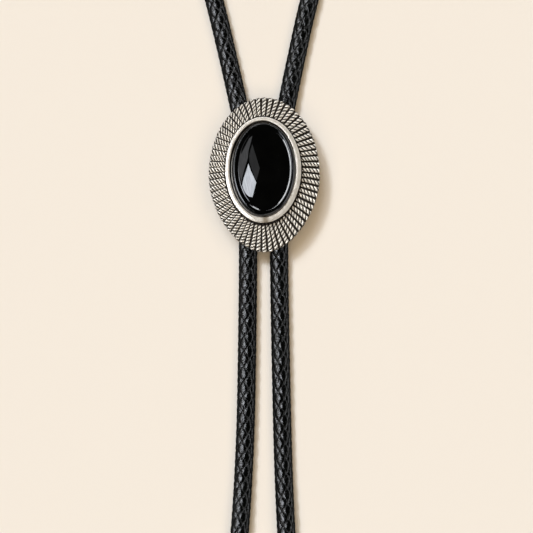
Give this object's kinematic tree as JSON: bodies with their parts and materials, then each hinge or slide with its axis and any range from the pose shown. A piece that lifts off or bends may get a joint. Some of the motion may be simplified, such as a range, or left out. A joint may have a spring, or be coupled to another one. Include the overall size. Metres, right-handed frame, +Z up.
{
  "type": "bolo tie",
  "caption": "Bolo tie lying flat: oval rayed slide with a domed stone in a smooth bezel, on a round braided cord with plain metal tips.",
  "frame": {"origin": "middle of the oval slide, on the surface that the tie lies on", "axes": "+Z up out of that surface, +Y from the slide towards the neck loop, +X to the right as seen from above; the free ends run towards -Y"},
  "size_m": [0.1423, 0.4634, 0.0147],
  "materials": {
    "antique_silver": "cast silver-coloured metal, polished on the ridges and darkened in the recesses",
    "black_onyx": "mirror-polished black stone",
    "plain_nickel": "plain plated metal, satin",
    "black_leather": "glossy black leather, round braided",
    "bright_silver": "polished silver-coloured metal"
  },
  "bodies": {
    "root": {"sunburst_setting": "antique_silver", "onyx_stone": "black_onyx", "cord_keeper": "plain_nickel", "braided_cord": "black_leather", "left_tip": "bright_silver", "right_tip": "bright_silver"}
  },
  "joints": []
}
